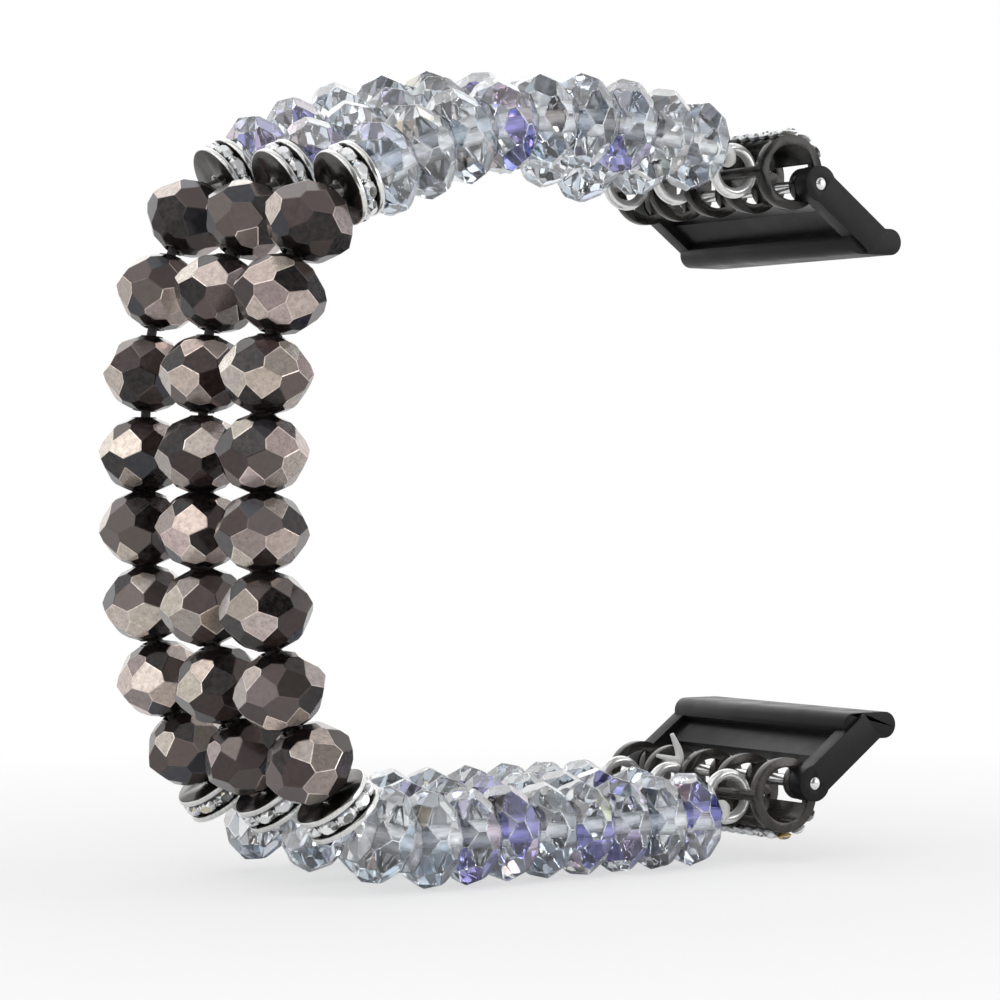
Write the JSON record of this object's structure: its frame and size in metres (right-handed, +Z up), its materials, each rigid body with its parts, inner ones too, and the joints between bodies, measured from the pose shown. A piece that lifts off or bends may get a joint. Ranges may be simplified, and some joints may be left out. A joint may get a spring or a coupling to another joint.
{
  "type": "beaded stretch watch band",
  "caption": "Stretch watch band of faceted gunmetal and clear crystal beads on elastic cords, with rhinestone spacers and hinged lug adapters.",
  "frame": {"origin": "centre of the bounding box's bottom face: under the middle of the band, at the foot of the lower crystals that it stands on", "axes": "+X from the gunmetal rows towards the lug adapters, Y across the band from the near strand to the far strand, +Z up"},
  "size_m": [0.0622, 0.0276, 0.0657],
  "materials": {
    "gunmetal_coating": "faceted glass with an opaque gunmetal mirror coating",
    "crystal_glass": "clear grey-blue faceted glass with an iridescent coat",
    "rhinestone": "clear cut rhinestones, foil backed",
    "silver_plate": "bright silver plate",
    "connector_metal": "gunmetal-black plated metal, glossy",
    "black_metal": "satin black metal",
    "white_elastic": "white fibrous elastic cord"
  },
  "bodies": {
    "centre": {"metal_centre_near": "gunmetal_coating", "metal_centre_middle": "gunmetal_coating", "metal_centre_far": "gunmetal_coating", "elastic_cord_near": "white_elastic", "elastic_cord_middle": "white_elastic", "elastic_cord_far": "white_elastic"},
    "upper_rows": {"metal_upper_near": "gunmetal_coating", "metal_upper_middle": "gunmetal_coating", "metal_upper_far": "gunmetal_coating"},
    "top_crystals_inner": {"top_crystals_inner_near": "crystal_glass", "top_crystals_inner_middle": "crystal_glass", "top_crystals_inner_far": "crystal_glass", "top_spacer_near": "silver_plate", "top_spacer_middle": "silver_plate", "top_spacer_far": "silver_plate", "top_spacer_stones": "rhinestone"},
    "top_crystals_mid": {"top_crystals_mid_near": "crystal_glass", "top_crystals_mid_middle": "crystal_glass", "top_crystals_mid_far": "crystal_glass"},
    "top_crystals_outer": {"top_crystals_outer_near": "crystal_glass", "top_crystals_outer_middle": "crystal_glass", "top_crystals_outer_far": "crystal_glass", "top_jump_ring_near": "silver_plate", "top_jump_ring_middle": "silver_plate", "top_jump_ring_far": "silver_plate"},
    "top_connector": {"top_connector": "connector_metal", "top_connector_stones": "rhinestone"},
    "top_lug_adapter": {"top_lug_adapter": "black_metal", "top_hinge_pin": "silver_plate"},
    "lower_rows": {"metal_lower_near": "gunmetal_coating", "metal_lower_middle": "gunmetal_coating", "metal_lower_far": "gunmetal_coating", "bottom_spacer_near": "silver_plate", "bottom_spacer_middle": "silver_plate", "bottom_spacer_far": "silver_plate", "bottom_spacer_stones": "rhinestone"},
    "bottom_crystals_inner": {"bottom_crystals_inner_near": "crystal_glass", "bottom_crystals_inner_middle": "crystal_glass", "bottom_crystals_inner_far": "crystal_glass"},
    "bottom_crystals_mid": {"bottom_crystals_mid_near": "crystal_glass", "bottom_crystals_mid_middle": "crystal_glass", "bottom_crystals_mid_far": "crystal_glass"},
    "bottom_crystals_outer": {"bottom_crystals_outer_near": "crystal_glass", "bottom_crystals_outer_middle": "crystal_glass", "bottom_crystals_outer_far": "crystal_glass", "bottom_jump_ring_near": "silver_plate", "bottom_jump_ring_middle": "silver_plate", "bottom_jump_ring_far": "silver_plate"},
    "bottom_connector": {"bottom_connector": "connector_metal", "bottom_connector_stones": "rhinestone"},
    "bottom_lug_adapter": {"bottom_lug_adapter": "black_metal", "bottom_hinge_pin": "silver_plate"}
  },
  "joints": [
    {"name": "top_row_flex", "type": "hinge", "parent": "centre", "child": "upper_rows", "pos_m": [-0.02653, 0, 0.04296], "axis": [0, -0.9993, -0.0379], "range_deg": [-1.2, 9], "deforming": ["elastic_cord_near", "elastic_cord_middle", "elastic_cord_far"]},
    {"name": "top_corner_flex", "type": "hinge", "parent": "upper_rows", "child": "top_crystals_inner", "pos_m": [-0.02096, 0, 0.05429], "axis": [0, -0.9965, -0.0839], "range_deg": [-2, 15], "stiffness_Nm_per_rad": 1.6, "deforming": ["elastic_cord_near", "elastic_cord_middle", "elastic_cord_far"]},
    {"name": "top_crystal_flex_inner", "type": "hinge", "parent": "top_crystals_inner", "child": "top_crystals_mid", "pos_m": [-0.00811, 0, 0.05992], "axis": [0, -0.9936, -0.1127], "range_deg": [-0.66, 4.95], "deforming": ["elastic_cord_near", "elastic_cord_middle", "elastic_cord_far"]},
    {"name": "top_crystal_flex_outer", "type": "hinge", "parent": "top_crystals_mid", "child": "top_crystals_outer", "pos_m": [0.00373, 0, 0.06084], "axis": [0, -0.9974, -0.0718], "range_deg": [-0.66, 4.95], "deforming": ["elastic_cord_near", "elastic_cord_middle", "elastic_cord_far"]},
    {"name": "top_connector_tilt", "type": "hinge", "parent": "top_crystals_outer", "child": "top_connector", "pos_m": [0.01805, 0, 0.05697], "axis": [0, -1, 0], "range_deg": [-20, 20]},
    {"name": "top_lug_hinge", "type": "hinge", "parent": "top_connector", "child": "top_lug_adapter", "pos_m": [0.02245, 0, 0.05597], "axis": [0, -1, 0], "range_deg": [-35, 45]},
    {"name": "bottom_row_flex", "type": "hinge", "parent": "centre", "child": "lower_rows", "pos_m": [-0.02653, 0, 0.0188], "axis": [0, 1, 0], "range_deg": [-1.2, 9], "deforming": ["elastic_cord_near", "elastic_cord_middle", "elastic_cord_far"]},
    {"name": "bottom_corner_flex", "type": "hinge", "parent": "lower_rows", "child": "bottom_crystals_inner", "pos_m": [-0.01998, 0, 0.00619], "axis": [0, 1, 0], "range_deg": [-2, 15], "stiffness_Nm_per_rad": 1.6, "deforming": ["elastic_cord_near", "elastic_cord_middle", "elastic_cord_far"]},
    {"name": "bottom_crystal_flex_inner", "type": "hinge", "parent": "bottom_crystals_inner", "child": "bottom_crystals_mid", "pos_m": [-0.00753, 0, 0.00385], "axis": [0, 1, 0], "range_deg": [-0.4, 3], "deforming": ["elastic_cord_near", "elastic_cord_middle", "elastic_cord_far"]},
    {"name": "bottom_crystal_flex_outer", "type": "hinge", "parent": "bottom_crystals_mid", "child": "bottom_crystals_outer", "pos_m": [0.00342, 0, 0.00385], "axis": [0, 1, 0], "range_deg": [-0.4, 3], "deforming": ["elastic_cord_near", "elastic_cord_middle", "elastic_cord_far"]},
    {"name": "bottom_connector_tilt", "type": "hinge", "parent": "bottom_crystals_outer", "child": "bottom_connector", "pos_m": [0.01745, 0, 0.00564], "axis": [0, 1, 0], "range_deg": [-20, 20]},
    {"name": "bottom_lug_hinge", "type": "hinge", "parent": "bottom_connector", "child": "bottom_lug_adapter", "pos_m": [0.02185, 0, 0.00664], "axis": [0, 1, 0], "range_deg": [-35, 45]}
  ],
  "couplings": [
    {"joint": "top_row_flex", "follows": "top_corner_flex", "ratio": 0.6},
    {"joint": "top_crystal_flex_inner", "follows": "top_corner_flex", "ratio": 0.33},
    {"joint": "top_crystal_flex_outer", "follows": "top_corner_flex", "ratio": 0.33},
    {"joint": "bottom_row_flex", "follows": "bottom_corner_flex", "ratio": 0.6},
    {"joint": "bottom_crystal_flex_inner", "follows": "bottom_corner_flex", "ratio": 0.2},
    {"joint": "bottom_crystal_flex_outer", "follows": "bottom_corner_flex", "ratio": 0.2}
  ]
}
